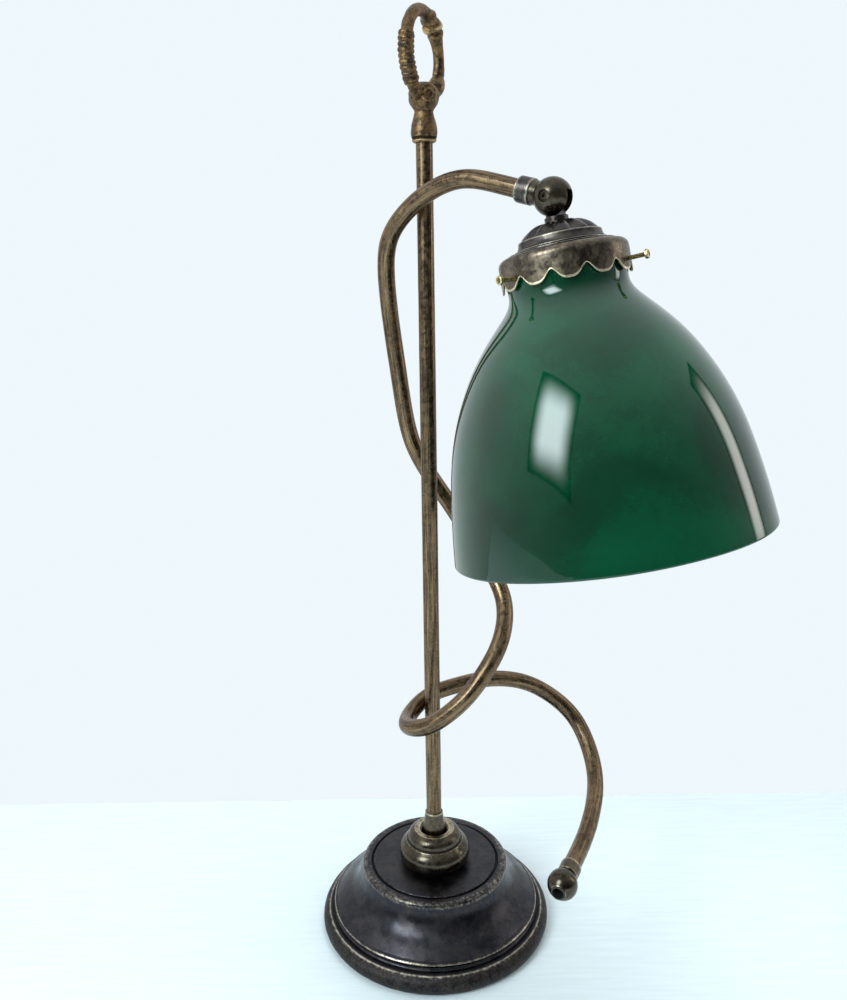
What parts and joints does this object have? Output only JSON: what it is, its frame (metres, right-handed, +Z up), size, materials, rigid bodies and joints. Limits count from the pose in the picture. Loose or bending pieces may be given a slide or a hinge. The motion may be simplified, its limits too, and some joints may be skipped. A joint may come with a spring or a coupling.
{
  "type": "banker desk lamp",
  "caption": "Desk lamp with a weighted round base, slim post with ring handle, sliding wound tube arm and a tilting green cased glass shade in a scalloped holder.",
  "frame": {"origin": "on the surface that the base stands on, at the post's axis", "axes": "+Z up along the post, -Y towards the side that the shade leans to, +X to the right"},
  "size_m": [0.3087, 0.2924, 0.6979],
  "materials": {
    "dark_cast": "dark patinated casting, worn bright on its edges",
    "iron": "plain grey casting",
    "felt": "dark green felt",
    "bronze_turned": "aged dark brass, turned",
    "bronze_tube": "aged dark brass tube with long streaks",
    "bronze_casting": "aged brass casting with golden worn places",
    "bronze_spun": "aged spun brass with bright rims",
    "steel": "plain steel",
    "nylon": "white nylon",
    "black_plastic": "black moulding",
    "flex_sheath": "brown sheathed flex",
    "green_glass": "deep green cased glass, high gloss",
    "opal_glass": "white opal glass",
    "holder_brass": "satin brass",
    "bright_brass": "bright brass",
    "bulb_glass": "frosted bulb glass"
  },
  "bodies": {
    "base": {"base_shell": "dark_cast", "base_weight": "iron", "base_felt": "felt", "base_cup": "bronze_turned", "base_stud": "steel", "lower_nut": "steel", "lower_washer": "steel", "cup_nut": "steel", "thrust_washer": "nylon"},
    "column": {"post": "bronze_tube", "ferrule": "bronze_turned", "finial_collar": "bronze_casting", "finial_head": "bronze_casting", "handle_ring": "bronze_casting"},
    "arm": {"arm_tube": "bronze_tube", "arm_flex": "flex_sheath", "arm_coupling": "bronze_turned", "knuckle_ball": "bronze_turned", "pivot_pin": "steel", "pivot_nut": "steel", "end_coupling": "bronze_turned", "end_ball": "bronze_turned", "inlet_bush": "black_plastic"},
    "head": {"knuckle_tongue": "bronze_turned", "nipple": "steel", "gallery_cap": "bronze_spun", "gallery": "bronze_spun", "shade_glass": "green_glass", "shade_lining": "opal_glass", "lampholder_cap": "holder_brass", "nipple_nut": "steel", "lampholder_barrel": "holder_brass", "lampholder_insulator": "black_plastic", "screw_shell": "bright_brass", "centre_contact": "bright_brass", "bulb_cap": "steel", "bulb_glass": "bulb_glass", "head_leads": "flex_sheath"},
    "screw_1": {"gallery_screw_1": "bright_brass"},
    "screw_2": {"gallery_screw_2": "bright_brass"},
    "screw_3": {"gallery_screw_3": "bright_brass"}
  },
  "joints": [
    {"name": "column_turn", "type": "hinge", "parent": "base", "child": "column", "pos_m": [0, 0, 0.07], "axis": [0, 0, 1], "continuous": true},
    {"name": "arm_slide", "type": "slide", "parent": "column", "child": "arm", "axis": [0, 0, 1], "range_m": [-0.06, 0.03]},
    {"name": "shade_tilt", "type": "hinge", "parent": "arm", "child": "head", "pos_m": [0.08, -0.073, 0.563], "axis": [-0.5878, -0.809, 0], "range_deg": [-6, 40]},
    {"name": "screw_1_travel", "type": "slide", "parent": "head", "child": "screw_1", "axis": [-0.8418, -0.5345, -0.076], "range_m": [0, 0.006]},
    {"name": "screw_2_travel", "type": "slide", "parent": "head", "child": "screw_2", "axis": [-0.0246, 0.9919, -0.1248], "range_m": [0, 0.006]},
    {"name": "screw_3_travel", "type": "slide", "parent": "head", "child": "screw_3", "axis": [0.8663, -0.4574, 0.2008], "range_m": [0, 0.006]}
  ]
}
